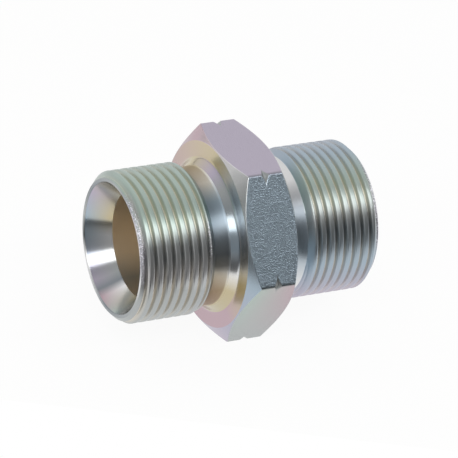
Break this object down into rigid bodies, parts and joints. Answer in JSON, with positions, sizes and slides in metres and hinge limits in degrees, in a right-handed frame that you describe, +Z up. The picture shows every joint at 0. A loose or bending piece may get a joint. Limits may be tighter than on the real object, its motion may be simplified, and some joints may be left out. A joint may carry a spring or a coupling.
{
  "type": "straight hydraulic adapter fitting",
  "caption": "Straight male-to-male hydraulic adapter: threaded ends with coned seats either side of a wrench hexagon, and a through bore.",
  "frame": {"origin": "on the bore's axis, at the middle of the hexagon and of the whole length", "axes": "+X along the bore axis, +Z up, at right angles to the hexagon flat that the part lies on"},
  "size_m": [0.041, 0.0346, 0.03],
  "materials": {
    "zinc_plated_steel": "zinc electroplate with a clear iridescent passivate over turned steel"
  },
  "bodies": {
    "root": {"adapter_body": "zinc_plated_steel"}
  },
  "joints": []
}
